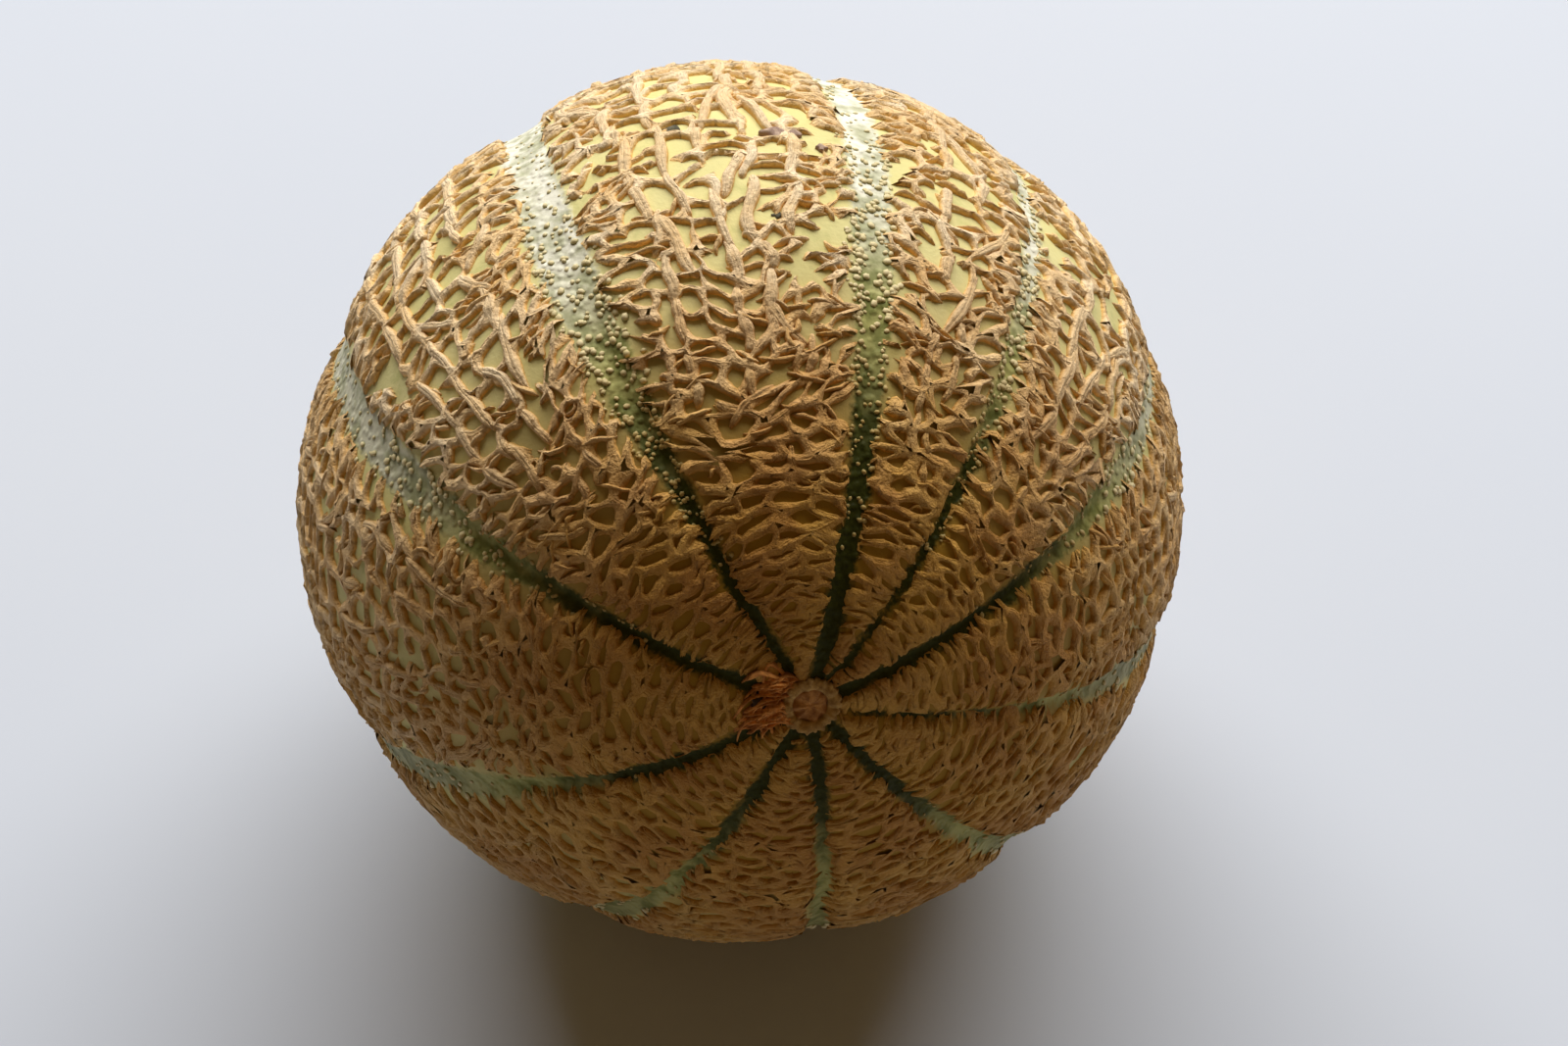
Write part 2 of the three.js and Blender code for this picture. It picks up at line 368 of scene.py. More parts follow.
def column_count(rib):
    """How many columns of open cells the rib has."""
    width = float(inner_edge(rib, -1, MIDWAY) + inner_edge(rib, 1, MIDWAY))
    return max(2, round(width / OPEN_CELL[1]))


def rows_of_seeds(rng, rib, low_edge, high_edge, size):
    """Seeds in rows between two edges. In the open net they keep to columns, and elsewhere each row is
    shifted against the last."""
    seeds = []
    s, row = NET_START, 0
    while s < NET_END:
        length, width = size(s)
        low, high = low_edge(s), high_edge(s)
        openness = openness_at(rib, s)
        if openness > COLUMNS_FROM and high - low > 2 * OPEN_CELL[1]:
            count = column_count(rib)
            shift = rng.normal(0, COLUMN_SHIFT, count)
        else:
            count = max(1, round(float((high - low) / width)))
            shift = rng.normal(ROW_OFFSET * (-1) ** row, ROW_SHIFT, count)
        number = np.arange(count)
        x = lerp(low, high, np.clip((number + 0.5 + shift) / count, 0.03, 0.97))
        steps = rng.normal(0, STEP_SHIFT, count) + openness * STAGGER * np.sin(2.4 * number + 0.3 * row)
        seeds.append(np.stack([s + steps * length + slant_at(rib, s) * np.abs(x), x], axis=-1))
        s += length * rng.uniform(*ROW_SPACING)
        row += 1
    return np.concatenate(seeds)


def seeds_of(rib, rng):
    """The seeds of a rib's cells: those of its middle, and those of the fringe on each side."""
    outer = [lambda s, side=side: side * rib_edge(rib, side, s) for side in (-1, 1)]
    inner = [lambda s, side=side: side * inner_edge(rib, side, s) for side in (-1, 1)]
    middle = rows_of_seeds(rng, rib, *inner, lambda s: middle_cell(rib, s))
    low = rows_of_seeds(rng, rib, outer[0], inner[0], fringe_cell)
    high = rows_of_seeds(rng, rib, inner[1], outer[1], fringe_cell)
    seeds = np.concatenate([middle, low, high])
    seeds[:, 0] = np.clip(seeds[:, 0], NET_START, NET_END)
    kept = rng.random(len(seeds)) > LOST_SEEDS * (1 - openness_at(rib, seeds[:, 0]))
    return seeds[kept & (inside_rib(rib, *seeds.T) > 0.1 * MM)]


def neighbour_lines(rib, seeds):
    """The lines halfway to each seed's neighbours: their normals, how far off they are, and half the
    width of the ridge along each."""
    gap = seeds[None] - seeds[:, None]
    length, width, slant = (values[:, None] for values in local_shape(rib, *seeds.T))
    away = np.hypot((gap[..., 0] - slant * gap[..., 1]) / length, gap[..., 1] / width)
    np.fill_diagonal(away, np.inf)
    nearest = np.argsort(away, axis=1)[:, :NEIGHBOURS]
    gap = np.take_along_axis(gap, nearest[..., None], axis=1)
    middle = seeds[:, None] + gap / 2
    s, x = np.moveaxis(middle, -1, 0)
    length, width, slant = local_shape(rib, s, x)
    along = (gap[..., 0] - slant * gap[..., 1]) / length**2
    normal = unit(np.stack([along, gap[..., 1] / width**2 - slant * along], axis=-1))
    distance = (gap / 2 * normal).sum(axis=-1)
    chance = noise(rib.place(s, x), 1.7 * MM, 1)
    half = lerp(DENSE_HALF_WIDTH, OPEN_HALF_WIDTH, openness_at(rib, s)) * lerp(0.25, 1, boldness_at(s))
    return normal, distance, half * (1 + 0.35 * chance) * MM


def band_lines(rib, seeds, rng):
    """The edges of the bare bands as each seed has them, in the same form."""
    s, x = seeds.T
    step = 0.5 * MM
    lines = []
    for side in (-1, 1):
        edge = rib_edge(rib, side, s)
        slope = (rib_edge(rib, side, s + step) - edge) / step
        normal = unit(np.stack([-slope, np.full(len(s), side)], axis=-1))
        ragged = rng.uniform(-0.2, 0.8, len(s)) * boldness_at(s) ** 2 * MM
        distance = np.maximum((edge - side * x) * np.abs(normal[:, 1]) + ragged, 0.1 * MM)
        half = np.where(rng.random(len(s)) < 0.5, 1.0, 0.3) * boldness_at(s) * MM
        lines.append((normal[:, None], distance[:, None], half[:, None]))
    return [np.concatenate(parts, axis=1) for parts in zip(*lines)]


def standing_at(rib, s, x):
    """1 where the ridges stand and 0 in the small gaps where they have worn away."""
    gone = lerp(*RIDGE_GAPS, openness_at(rib, s))
    return smoothstep(gone, gone + GAP_EDGE, noise(rib.place(s, x), 3.6 * MM, 3))


def ridge_rings(rib, seeds, lines, profile, sides):
    """The rings of points of each cell, from the crests round it to the foot of their walls, and how
    far each point is from the seed. A wall follows the nearest line, rounded off in the corners."""
    normal, distance, half = lines
    length, width, _ = local_shape(rib, *seeds.T)
    turn = np.linspace(0, 2 * pi, sides, endpoint=False)
    heading = unit(np.stack([length[:, None] * np.cos(turn), width[:, None] * np.sin(turn)], axis=-1))
    facing = np.maximum(np.einsum("nkc,ntc->nkt", normal, heading), 0)
    crest = 1 / (facing / distance[..., None]).max(axis=1)
    rim = seeds[:, None] + crest[..., None] * heading
    s, x = np.moveaxis(rim, -1, 0)
    thin = lerp(0.4, 1, smoothstep(-0.3 * MM, 1.6 * MM, inside_rib(rib, s, x)))
    thin *= lerp(0.45, 1, standing_at(rib, s, x)) * (1 + 0.4 * noise(rib.place(s, x), 1.9 * MM, 2))
    reaches = [crest + CREST_OVERLAP]
    for share in profile[1:, 0]:
        clear = np.maximum(distance[..., None] - share * half[..., None] * thin[:, None], 0.03 * MM)
        reaches.append(((facing / clear) ** CORNER_ROUNDING).sum(axis=1) ** (-1 / CORNER_ROUNDING))
    reach = np.minimum(np.stack(reaches, axis=1), crest[:, None] + CREST_OVERLAP)
    return seeds[:, None, None] + reach[..., None] * heading[:, None], reach


def bend(rib, s, x, fine=0.75 * MM):
    """A place on the rib, moved a little at random so that ridges run less straight."""
    place = rib.place(s, x)
    moves = [
        boldness_at(s) * 1.5 * MM * noise(place, 7 * MM, seed) + fine * noise(place, 2 * MM, seed + 1)
        for seed in (6, 8)
    ]
    return rib.place(s + moves[0], x + moves[1])


def cell_surfaces(rib, seeds, lines, profile, sides):
    """The ridges round a set of cells: points, faces and attributes."""
    spots, reach = ridge_rings(rib, seeds, lines, profile, sides)
    s, x = spots[..., 0], spots[..., 1]
    fade = smoothstep(-0.1 * MM, lerp(-0.3, 1, boldness_at(s)) * MM, inside_rib(rib, s, x))
    fade *= standing_at(rib, s, x)
    places = bend(rib, s, x)
    open_pit = smoothstep(0.2 * MM, 0.6 * MM, reach[:, -1].mean(axis=1))[:, None, None]
    share, root = (values[:, None] for values in profile[:, 1:].T)
    share, root = lerp(1, share, open_pit), root * open_pit
    coarse = noise(places, 3 * MM, 4)
    fine = noise(places, 0.8 * MM, 5)
    height = lerp(DENSE_HEIGHT, OPEN_HEIGHT, openness_at(rib, s)) * boldness_at(s)
    height = height * (1 + 0.3 * coarse + 0.2 * fine) * MM
    lift = height * share * (1 - root) * fade - ROOT * np.maximum(root, 1 - fade)

    index = np.arange(lift.size).reshape(lift.shape)
    walls = walls_between(index[:, :-1], index[:, 1:])
    closed = index[open_pit[:, 0, 0] < 1, -1]
    crest_steps = np.hypot(*np.moveaxis(np.diff(spots[:, 0], axis=1, prepend=spots[:, 0, -1:]), -1, 0))
    along = np.broadcast_to(np.cumsum(crest_steps, axis=1)[:, None], lift.shape)
    across = np.broadcast_to(profile[:, :1] * 0.6, lift.shape)
    attributes = {
        "tone": np.clip(0.45 + 0.5 * coarse + 0.25 * openness_at(rib, s), 0, 1).ravel(),
        "browning_and_shade": browning_and_shade_at(rib, s).ravel(),
        "crest": (share * (1 - root) * fade).ravel(),
        "grain": np.stack([along / MM, across, lift * 0 + seeds[:, :1, None] / MM], axis=-1).reshape(-1, 3),
    }
    return raised(places, lift).reshape(-1, 3), walls.tolist() + closed.tolist(), attributes


def plan_cells(rib, rng):
    """The surfaces of a rib's open cells and of its dense ones."""
    seeds = seeds_of(rib, rng)
    both = zip(neighbour_lines(rib, seeds), band_lines(rib, seeds, rng))
    lines = [np.concatenate(parts, axis=1) for parts in both]
    large = local_shape(rib, *seeds.T)[0] > LARGE_CELL
    surfaces = []
    kinds = ((large, OPEN_RIDGE, OPEN_CELL_SIDES), (~large, DENSE_RIDGE, DENSE_CELL_SIDES))
    for chosen, profile, sides in kinds:
        if chosen.any():
            chosen_lines = [part[chosen] for part in lines]
            surfaces.append(cell_surfaces(rib, seeds[chosen], chosen_lines, profile, sides))
    return surfaces


# Spindles of cork that lie on the net: straps along the strings of the open net, and loose fibres

FIBRE_POINTS = 7
STRAP_POINTS = 14
FIBRES_PER_RIB = 165  # on a rib of the usual width
STRAPS_START = radians(26) * RADIUS
STRAPS_END = radians(150) * RADIUS
CROSSING_SHARE = 0.14


class Strands:
    """Centre lines, as distances over the rind in two directions, with widths and heights."""

    def __init__(self, rng, count):
        self.rng = rng
        self.share = np.linspace(0, 1, count)
        self.lines = []

    def add(self, start, end, half_width, height, bow=0.0, wiggle=0.25 * MM, taper=0.5, tone=0.5):
        """A strand with pointed ends from start to end, each a distance in either direction."""
        share = self.share
        span = np.subtract(end, start)
        length = max(np.hypot(*span), 0.1 * MM)
        sideways = np.array([-span[1], span[0]]) / length
        phase = self.rng.uniform(0, 2 * pi, 4)
        sway = np.sin(share * self.rng.uniform(3, 7) + phase[0]) * wiggle
        sway += np.sin(share * self.rng.uniform(9, 14) + phase[1]) * wiggle * 0.4
        sway += bow * 4 * share * (1 - share)
        s = start[0] + span[0] * share + sideways[0] * sway
        x = start[1] + span[1] * share + sideways[1] * sway
        point = np.clip(np.sin(pi * share), 0.02, 1) ** taper
        ripple = 1 + 0.12 * np.sin(share * 9 + phase[2]) + 0.08 * np.sin(share * 17 + phase[3])
        width = half_width * (0.12 + 0.88 * point) * ripple
        rise = height * point * ripple - 0.12 * MM * (point < 0.3)
        self.lines.append((s, x, width, rise, np.full(len(share), tone), share * length))

    def arrays(self):
        """All lines at once: s, x, half width, height, tone and length so far, each by strand and point."""
        return np.moveaxis(np.array(self.lines), 1, 0)


def string_at(rib, s, share):
    """Where the string between two columns runs, a share of the way over the middle of the rib."""
    return float(lerp(-inner_edge(rib, -1, s), inner_edge(rib, 1, s), share))


def plan_straps(rib, rng):
    """Spindles that follow a string between two columns of cells, each one starting a little beside
    the end of the last. Now and then one crosses over to the next string."""
    straps = Strands(rng, STRAP_POINTS)
    columns = column_count(rib)
    for k in range(1, columns):
        s = STRAPS_START + rng.uniform(0, 6) * MM
        while s < STRAPS_END:
            openness = openness_at(rib, s)
            length = lerp(4.5, rng.uniform(5, 15), openness) * MM
            top = s + length
            x = [string_at(rib, at, k / columns) for at in (s, top)]
            if rng.random() < 0.15 + 0.75 * openness:
                lean = rng.normal(0, 0.5) * MM
                crossing = rng.choice([-1, 1]) * OPEN_CELL[1] if rng.random() < CROSSING_SHARE else 0
                straps.add(
                    (s, x[0] - lean),
                    (top, x[1] + lean + crossing),
                    half_width=lerp(0.6, rng.uniform(0.8, 1.2), openness) * MM,
                    height=lerp(0.8, rng.uniform(0.95, 1.25), openness) * MM,
                    bow=rng.normal(0, 0.4) * MM,
                    wiggle=0.22 * MM,
                    taper=0.4,
                    tone=rng.uniform(0.6, 1.0),
                )
            s += length * rng.uniform(0.72, 1.0)
    return straps


def plan_fibres(rib, rng):
    """Short fibres that lie on the net at all angles, most of them near the edges of the rib."""
    fibres = Strands(rng, FIBRE_POINTS)
    for _ in range(round(FIBRES_PER_RIB * rib.width / USUAL_RIB)):
        s = np.arccos(rng.uniform(-0.9, 0.9)) * RADIUS
        side = rng.choice([-1, 1])
        edge = float(rib_edge(rib, side, s))
        at = edge - abs(rng.normal(0, 0.42)) * edge - 0.3 * MM
        bold = boldness_at(s)
        length = rng.uniform(2.6, 6.6) * bold * MM
        turn = rng.normal(0.2, 0.5)
        reach = np.array([sin(turn), -cos(turn) * side]) * length
        start = np.array([s, side * at])
        fibres.add(
            start,
            start + reach,
            half_width=rng.uniform(0.34, 0.6) * bold * MM,
            height=rng.uniform(0.85, 1.12) * bold * MM,
            bow=rng.normal(0, 0.5) * MM,
            taper=0.36,
            tone=rng.uniform(0.0, 0.8),
        )
    return fibres


# A strand's profile runs from one root over the crest to the other root: how far across as a share of
# its half width, how much of its height, and how deep under the skin as a share of the root's.
STRAP_SIDE = [(-1.0, 0.0, 1.0), (-0.86, 0.62, 0.0), (-0.55, 0.97, 0.0), (-0.12, 1.0, 0.0)]
FIBRE_SIDE = [(-1.0, 0.0, 1.0), (-0.76, 0.55, 0.0), (-0.24, 1.0, 0.0)]


def both_sides(side, middle):
    return np.array([*side, *middle, *((-across, rise, root) for across, rise, root in side[::-1])])


STRAP_PROFILE = both_sides(STRAP_SIDE, [(0.0, 0.9, 0.0)])
FIBRE_PROFILE = both_sides(FIBRE_SIDE, [])


def strand_surfaces(centre, browning_and_shade, lines, profile, rng):
    """Closed strands swept along their centre lines: points, faces and attributes."""
    half_width, height, tone, along = lines[2:]
    forward = np.gradient(centre, axis=1)
    side = unit(np.cross(centre, forward))
    across, rise, root = profile.T
    skew = rng.uniform(-0.22, 0.22, (len(centre), 1, 1))
    offset = side[:, :, None] * (across * half_width[..., None] / RADIUS)[..., None]
    places = unit(centre[:, :, None] + offset)
    lift = height[..., None] * rise * (1 + skew * across) - ROOT * root

    shape = lift.shape
    index = np.arange(lift.size).reshape(shape)
    here, ahead = index[:, :-1], index[:, 1:]
    corners = [here, ahead, np.roll(ahead, -1, axis=-1), np.roll(here, -1, axis=-1)]
    walls = np.stack(corners, axis=-1).reshape(-1, 4)
    caps = np.concatenate([index[:, 0], index[:, -1, ::-1]])
    identity = 100 * rng.uniform(0, 1, (len(centre), 1, 1))
    grain = (along[..., None] / MM, across * half_width[..., None] / MM, identity)
    attributes = {
        "tone": np.broadcast_to(tone[..., None], shape).ravel(),
        "browning_and_shade": np.broadcast_to(browning_and_shade[..., None], shape).ravel(),
        "crest": np.broadcast_to(rise, shape).ravel(),
        "grain": np.stack([np.broadcast_to(part, shape) for part in grain], axis=-1).reshape(-1, 3),
    }
    return raised(places, lift).reshape(-1, 3), walls.tolist() + caps.tolist(), attributes


def strands_on_rib(rib, strands, profile, rng):
    lines = strands.arrays()
    s, x = lines[:2]
    return strand_surfaces(bend(rib, s, x, 0), browning_and_shade_at(rib, s), lines, profile, rng)


def join_surfaces(*surfaces):
    """Many surfaces as one: points, faces and attributes."""
    points, faces, attributes, base = [], [], {}, 0
    for part_points, part_faces, part_attributes in surfaces:
        points.append(part_points)
        faces += [[base + i for i in face] for face in part_faces]
        for key, values in part_attributes.items():
            attributes.setdefault(key, []).append(values)
        base += len(part_points)
    joined = {key: np.concatenate(parts) for key, parts in attributes.items()}
    return np.concatenate(points), faces, joined


def build_net(rib, material):
    rng = np.random.default_rng(SEED + rib.number)
    cells = plan_cells(rib, rng)
    kinds = ((plan_straps, STRAP_PROFILE), (plan_fibres, FIBRE_PROFILE))
    strands = [strands_on_rib(rib, plan(rib, rng), profile, rng) for plan, profile in kinds]
    add_piece(f"net_rib_{rib.number + 1:02d}", join_surfaces(*cells, *strands), material)


# The skin

SKIN_STEPS = 212


def hemisphere(steps):
    """Directions over the half with positive Z, on a square grid with cells of one size."""
    line = np.linspace(-1, 1, steps + 1)
    a, b = np.meshgrid(line, line, indexing="ij")
    wide = np.abs(a) > np.abs(b)
    radius = np.where(wide, a, b)
    safe = np.where(radius == 0, 1, radius)
    longitude = np.where(wide, pi / 4 * b / safe, pi / 2 - pi / 4 * a / safe)
    rim = radius * np.sqrt(2 - radius**2)
    places = [rim * np.cos(longitude), rim * np.sin(longitude), 1 - radius**2]
    return np.stack(places, axis=-1).reshape(-1, 3)


def build_skin_half(name, sign, material):
    """The skin of the blossom half, for a sign of 1, or of the stem half, for -1."""
    places = hemisphere(SKIN_STEPS) * [1, 1, sign]
    side = SKIN_STEPS + 1
    index = np.arange(side * side).reshape(side, side)
    corners = [index[:-1, :-1], index[1:, :-1], index[1:, 1:], index[:-1, 1:]]
    faces = np.stack(corners, axis=-1).reshape(-1, 4)[:, ::sign]
    polar = polar_of(places)
    from_end = nearer_end(polar)
    suture, away = nearest_suture(places)
    attributes = {
        "outside": (away - band(suture, polar)) / MM,
        "beyond_green": np.degrees(from_end - GREEN_UNTIL[suture]),
        # How much of the band's pale colour shows; the rest is a darker copy painted as shade
        "band_in_light": BAND_IN_LIGHT[suture],
        "from_end": np.degrees(from_end),
    }
    add_piece(name, (raised(places, 0), faces.tolist(), attributes), material)


# Beads of cork along the sutures

BEAD_SIDES = 6
BEAD_RINGS = np.array([(1.0, -0.35), (0.85, 0.5), (0.42, 1.0)])  # share of the radius, of the height
BEAD_RADIUS = (0.3, 0.66)  # millimetres
BEAD_HEIGHT = (0.4, 0.8)  # as shares of the radius
BEADS_MIDDLE = radians(58)
BEADS_SPREAD = radians(17)
BEADS_BETWEEN = np.radians([24, 100])
SPARE_BEADS = 0.3  # the share of beads that stand anywhere along the suture
SPARE_BETWEEN = np.radians([20, 160])


def plan_beads(rng):
    """Where the beads stand, most of them near the suture's edges, and how wide they are."""
    places, radii = [], []
    for suture, count in enumerate(BEADS):
        polar = np.clip(rng.normal(BEADS_MIDDLE, BEADS_SPREAD, count), *BEADS_BETWEEN)
        spare = rng.random(count) < SPARE_BEADS
        polar = np.where(spare, rng.uniform(*SPARE_BETWEEN, count), polar)
        half_band = band(suture, polar)
        side = rng.choice([-1, 1], count)
        away = np.clip(rng.normal(0.75, 0.42, count), 0.02, 1.6) * half_band * side
        places.append(direction(polar, SUTURES[suture] + away / (RADIUS * np.sin(polar))))
        middling = np.exp(-(((polar - BEADS_MIDDLE) / radians(18)) ** 2))
        radii.append(rng.uniform(*BEAD_RADIUS, count) * lerp(0.7, 1.15, middling) * MM)
    return np.concatenate(places), np.concatenate(radii)


def domes(places, radii, heights, rng):
    """Small closed domes on the skin: points, faces and attributes."""
    forward = unit(np.cross(places, [0.0, 0.0, 1.0]))
    side = np.cross(places, forward)
    turn = np.linspace(0, 2 * pi, BEAD_SIDES, endpoint=False) + rng.uniform(0, 1, (len(places), 1))
    lobes = 1 + 0.14 * np.sin(2 * turn + rng.uniform(0, 6, (len(places), 1)))
    lobes += rng.normal(0, 0.05, turn.shape)
    ring = np.cos(turn)[..., None] * forward[:, None] + np.sin(turn)[..., None] * side[:, None]
    ring = ring * (lobes * radii[:, None] / RADIUS)[..., None]
    share, rise = BEAD_RINGS.T
    spots = unit(places[:, None, None] + share[:, None, None] * ring[:, None])
    points = raised(spots, rise[:, None] * heights[:, None, None])
    index = np.arange(spots[..., 0].size).reshape(spots.shape[:3])
    walls = walls_between(index[:, :-1], index[:, 1:])
    caps = np.concatenate([index[:, 0, ::-1], index[:, -1]])
    attributes = {
        "crest": np.broadcast_to(rise[:, None], index.shape).ravel(),
        "from_end": np.degrees(nearer_end(polar_of(spots))).ravel(),
    }
    return points.reshape(-1, 3), walls.tolist() + caps.tolist(), attributes


def build_beads(material):
    rng = np.random.default_rng(BEAD_SEED)
    places, radii = plan_beads(rng)
    heights = radii * rng.uniform(*BEAD_HEIGHT, len(radii))
    add_piece("suture_beads", domes(places, radii, heights, rng), material)


# The scars at the two ends


class Patch:
    """A small piece of the rind, with distances from its middle in two directions. The second is a
    quarter turn anticlockwise from the first as seen from outside."""

    def __init__(self, middle, second):
        self.middle = unit(np.array(middle, dtype=float))
        self.second = unit(np.array(second, dtype=float))
        self.first = np.cross(self.second, self.middle)

    def place(self, a, b):
        """The direction to a place, from its distances in the first direction and in the second."""
        off = np.multiply.outer(a, self.first) + np.multiply.outer(b, self.second)
        return unit(self.middle + off / RADIUS)


SCAR_SIDES = 120
BLEMISH_SIDES = 36
SUNK = -0.8 * MM  # how deep the outer edge of a scar lies


def scar_surface(patch, profile, crimps, crimp_depth, rng, sides=SCAR_SIDES, squash=1.0):
    """A closed round scar from a profile of (distance from the middle, height over the skin), with
    its rim crimped like a pie's. Squash narrows it in the patch's first direction."""
    turn = np.linspace(0, 2 * pi, sides, endpoint=False)
    phase = rng.uniform(0, 2 * pi, 3)
    wave = np.sin(crimps * turn + phase[0]) + 0.5 * np.sin((crimps * 2 - 3) * turn + phase[1])
    wave += 0.7 * np.sin(3 * turn + phase[2])
    reach, rise = np.array(profile).T
    outwards = reach / reach.max()
    distance = reach[:, None] * (1 + crimp_depth * outwards[:, None] ** 2 * wave)
    places = patch.place(squash * distance * np.cos(turn), distance * np.sin(turn))
    above = (rise > 0)[:, None]
    bumps = noise(places, 0.9 * MM, 3) * 0.22 * MM * above
    crests = 0.12 * MM * wave * outwards[:, None] ** 3 * above
    points = raised(places, rise[:, None] + bumps + crests)
    index = np.arange(bumps.size).reshape(bumps.shape)
    walls = walls_between(index[:-1], index[1:])
    caps = [index[0, ::-1].tolist(), index[-1].tolist()]
    attributes = {
        "crest": np.broadcast_to(smoothstep(0, 1 * MM, rise)[:, None], index.shape).ravel(),
        "reach": np.broadcast_to(reach[:, None] / MM, index.shape).ravel(),
    }
    return points.reshape(-1, 3), walls.tolist() + caps, attributes


def ring_profile(inner, outer, height):
    """From under the rim, over it and down to the inner edge, which is sunk again."""
    arc = np.linspace(0, pi, 11)
    middle, half = (inner + outer) / 2, (outer - inner) / 2
    top = [(middle + half * np.cos(a), height * np.sin(a) ** 0.7 + 0.02 * MM) for a in arc]
    return [(outer, SUNK), *top, (inner * 0.9, -0.6 * MM)]


def disc_profile(radius, height):
    """From under the edge, over the dome and in to the middle."""
    arc = np.linspace(0, pi / 2 * 0.97, 12)
    top = [(radius * np.cos(a), height * (0.35 + 0.65 * np.sin(a))) for a in arc]
    return [(radius, SUNK), *top]


TEAR_HOLE = np.array([2.2 * MM, 7.4 * MM])
TEAR_CLEARANCE = 1.5 * MM
TORN_FIBRES = 90


def build_scars():
    """The rings and discs of both scars, and the tear. Each row gives a name, a patch, a profile, the
    crimps round its rim, their depth as a share of the radius, and a material."""
    rng = np.random.default_rng(SCAR_SEED)
    blossom, stem = Patch([0, 0, 1], [0, 1, 0]), Patch([0, 0, -1], [0, -1, 0])
    hole = Patch(blossom.place(*TEAR_HOLE), [0, 1, 0])
    cork = scar_material("scar_cork", (0.48, 0.28, 0.07), (0.26, 0.13, 0.02))
    core = scar_material("scar_core", (0.58, 0.27, 0.06), (0.28, 0.11, 0.02))
    # The tear's hole is a small raised disc coloured near black: painted shade standing for the hole's
    # depth
    hole_shade = scar_material("tear_hole_painted_shade", (0.05, 0.025, 0.01), (0.02, 0.01, 0.004))
    rings = (
        ("blossom_scar_rim", blossom, ring_profile(2.6 * MM, 4.6 * MM, 1.0 * MM), 23, 0.03, cork),
        ("blossom_scar_core", blossom, disc_profile(2.8 * MM, 0.7 * MM), 7, 0.05, core),
        ("blossom_tear_hole_painted_shade", hole, disc_profile(1.3 * MM, 0.9 * MM), 5, 0.12, hole_shade),
        ("stem_scar_rim", stem, ring_profile(5.2 * MM, 7.6 * MM, 1.2 * MM), 27, 0.03, cork),
        ("stem_scar_core", stem, disc_profile(5.5 * MM, 0.5 * MM), 9, 0.04, core),
    )
    for name, patch, profile, crimps, depth, material in rings:
        add_piece(name, scar_surface(patch, profile, crimps, depth, rng), material)
    torn = scar_material("torn_fibre", (0.78, 0.33, 0.07), (0.36, 0.13, 0.02))
    lines = plan_torn_fibres(rng).arrays()
    centre = blossom.place(*lines[:2])
    surface = strand_surfaces(centre, np.ones(centre.shape[:2]), lines, FIBRE_PROFILE, rng)
    add_piece("torn_fibres", surface, torn)


def plan_torn_fibres(rng):
    """Fibres of a tear beside the blossom scar: they start at its rim, run sideways and curl down."""
    fibres = Strands(rng, STRAP_POINTS)
    for _ in range(TORN_FIBRES):
        start = np.array([rng.uniform(-2.2, 5.4), rng.uniform(0.8, 5.0)]) * MM
        start *= max(1, 3.4 * MM / np.hypot(*start))
        reach = np.array([rng.normal(-1.2, 0.9), rng.uniform(2.5, 7.5)]) * MM
        middle = start + reach / 2
        if np.hypot(*(middle - TEAR_HOLE)) < TEAR_CLEARANCE:
            continue
        fibres.add(
            start,
            start + reach,
            half_width=rng.uniform(0.2, 0.48) * MM,
            height=rng.uniform(0.6, 1.7) * MM,
            bow=rng.normal(-1.4, 0.7) * MM,
            wiggle=0.3 * MM,
        )
    return fibres


# Small scabs and spots: the polar angle and longitude in degrees, half the length across the rib in
# millimetres, the width as a share of that, the height in millimetres and the material
BLEMISHES = [
    (77.2, 352.0, 3.0, 0.45, 1.0, "scab"),
    (75.0, 347.0, 0.9, 0.8, 0.7, "scab"),
    (62.5, 354.5, 0.8, 0.8, 0.3, "spot"),
    (80.5, 5.2, 1.3, 0.6, 0.8, "spot"),
    (96.0, 120.0, 2.4, 0.5, 0.9, "scab"),
    (118.0, 230.0, 1.6, 0.6, 0.8, "scab"),
]


def build_blemishes():
    rng = np.random.default_rng(BLEMISH_SEED)
    materials = {
        "scab": scar_material("scab", (0.46, 0.33, 0.24), (0.24, 0.15, 0.11)),
        "spot": scar_material("spot", (0.13, 0.12, 0.07), (0.06, 0.055, 0.03)),
    }
    for number, (polar, longitude, size, squash, height, kind) in enumerate(BLEMISHES):
        middle = direction(radians(polar), radians(longitude))
        patch = Patch(middle, np.cross([0, 0, 1], middle))
        profile = disc_profile(size * MM, height * MM)
        surface = scar_surface(patch, profile, 4, 0.1, rng, BLEMISH_SIDES, squash)
        add_piece(f"blemish_{number + 1}", surface, materials[kind])


# Materials


def fill_socket(tree, socket, value):
    """Link another node's output to a socket, or else set the socket's own value."""
    if isinstance(value, bpy.types.NodeSocket):
        tree.links.new(value, socket)
    else:
        socket.default_value = value


def fill_inputs(tree, node, **inputs):
    """Each input is a value or another node's output, and a name's _ stands for a space."""
    for name, value in inputs.items():
        fill_socket(tree, node.inputs[name.replace("_", " ")], value)


def add_node(tree, kind, settings, **inputs):
    node = tree.nodes.new(kind)
    for name, value in settings.items():
        setattr(node, name, value)
    fill_inputs(tree, node, **inputs)
    return node


def object_place(tree):
    return add_node(tree, "ShaderNodeTexCoord", {}).outputs["Object"]


def attribute(tree, name, output="Fac"):
    return add_node(tree, "ShaderNodeAttribute", {"attribute_name": name}).outputs[output]


def noise_texture(tree, scale, detail, roughness=0.55, place=None):
    place = place or object_place(tree)
    inputs = {"Vector": place, "Scale": scale, "Detail": detail, "Roughness": roughness}
    return add_node(tree, "ShaderNodeTexNoise", {}, **inputs).outputs["Fac"]


